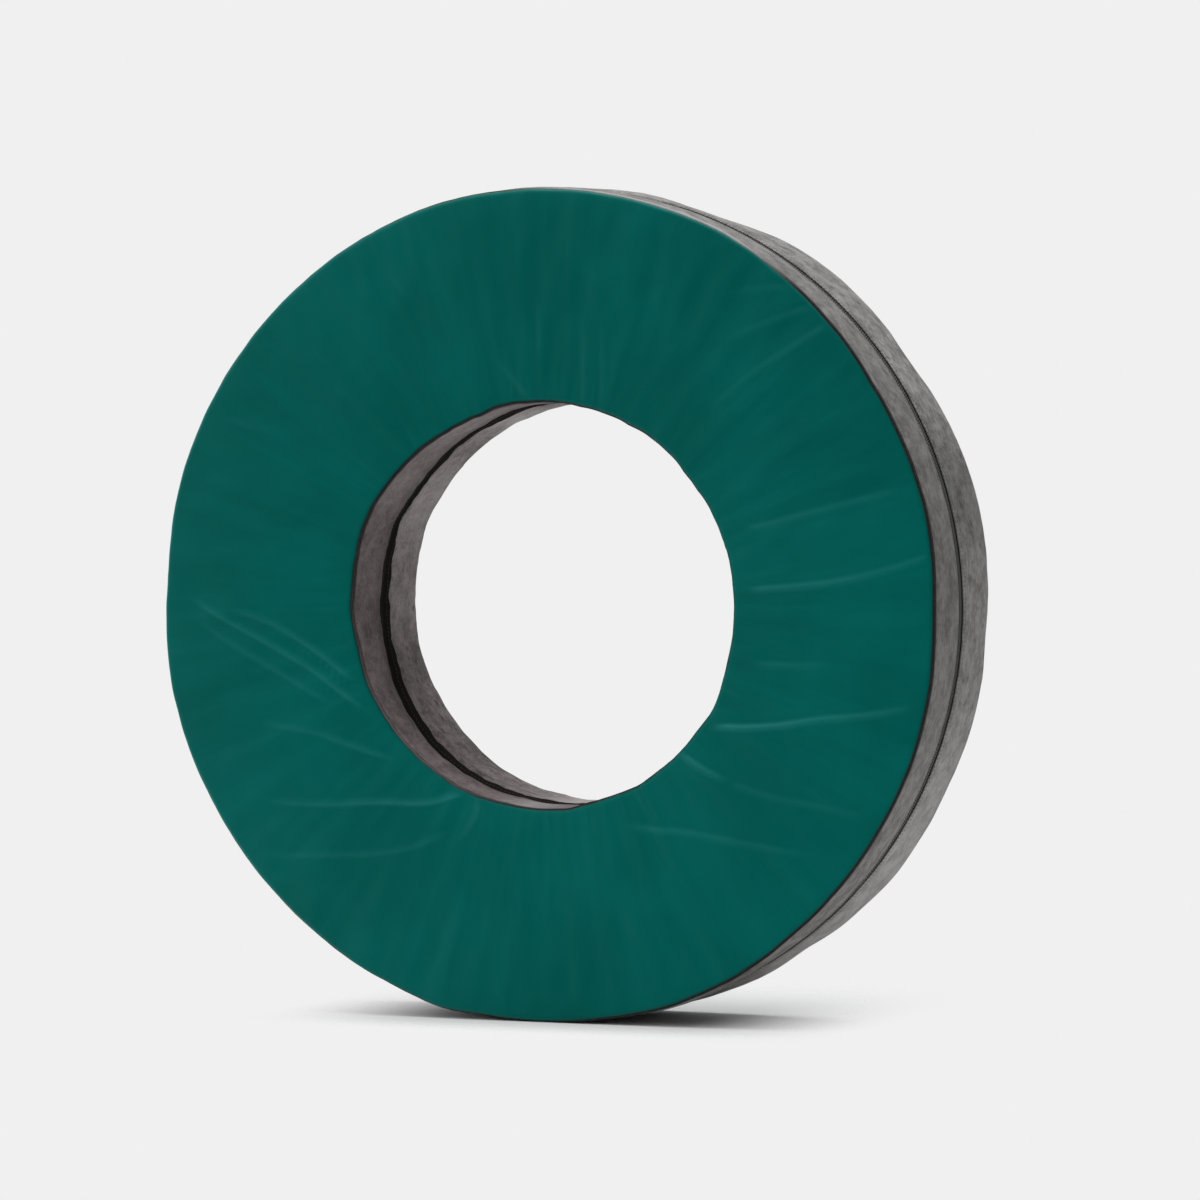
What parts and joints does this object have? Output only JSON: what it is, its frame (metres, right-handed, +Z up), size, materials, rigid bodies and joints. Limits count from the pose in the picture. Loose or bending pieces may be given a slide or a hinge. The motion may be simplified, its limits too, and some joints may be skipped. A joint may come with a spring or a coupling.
{
  "type": "tackling wheel",
  "caption": "Large soft foam ring that stands on its rim and is rolled for tackling practice, in a sewn cover with green faces, grey bands and a zip round the rim.",
  "frame": {"origin": "the wheel's centre, on its axis in the middle plane of its width", "axes": "+Y along the wheel's axis, towards its rear face; +Z up; the wheel stands on its rim below the origin"},
  "size_m": [1.2166, 0.2448, 1.2143],
  "materials": {
    "cream_foam": "open-cell foam",
    "green_vinyl": "coated vinyl with a fine grain, slightly glossy",
    "rear_vinyl": "coated vinyl with a fine grain, slightly glossy",
    "grey_fabric": "mottled woven fabric",
    "bore_fabric": "mottled woven fabric",
    "black_piping": "satin piping",
    "black_binding": "woven binding",
    "black_tape": "woven zip tape",
    "black_teeth": "moulded acetal",
    "slider_metal": "dark enamelled die casting",
    "patch_fabric": "mottled woven fabric"
  },
  "bodies": {
    "wheel": {"foam_slab_front": "cream_foam", "foam_slab_rear": "cream_foam", "face_panel_front": "green_vinyl", "face_panel_rear": "rear_vinyl", "rim_band_front": "grey_fabric", "rim_band_rear": "grey_fabric", "bore_band_front": "bore_fabric", "bore_band_rear": "bore_fabric", "rim_welt_front": "black_piping", "rim_welt_rear": "black_piping", "bore_welt_front": "black_piping", "bore_welt_rear": "black_piping", "bore_seam_binding": "black_binding", "zip_tape_front": "black_tape", "zip_tape_rear": "black_tape", "zip_teeth_front": "black_teeth", "zip_teeth_rear": "black_teeth", "zip_top_stop_front": "black_teeth", "zip_top_stop_rear": "black_teeth", "zip_bottom_stop": "black_teeth", "zip_end_patch": "patch_fabric"},
    "slider": {"zip_slider": "slider_metal"},
    "pull_tab": {"zip_pull_tab": "slider_metal"}
  },
  "joints": [
    {"name": "zip_slider_travel", "type": "hinge", "parent": "wheel", "child": "slider", "pos_m": [0, 0, 0], "axis": [0, 1, 0], "range_deg": [0, 328.9], "deforming": ["zip_teeth_front", "zip_teeth_rear"]},
    {"name": "zip_pull_tab_hinge", "type": "hinge", "parent": "slider", "child": "pull_tab", "pos_m": [-0.58589, 0, 0.15897], "axis": [0, 1, 0], "range_deg": [0, 170]}
  ]
}
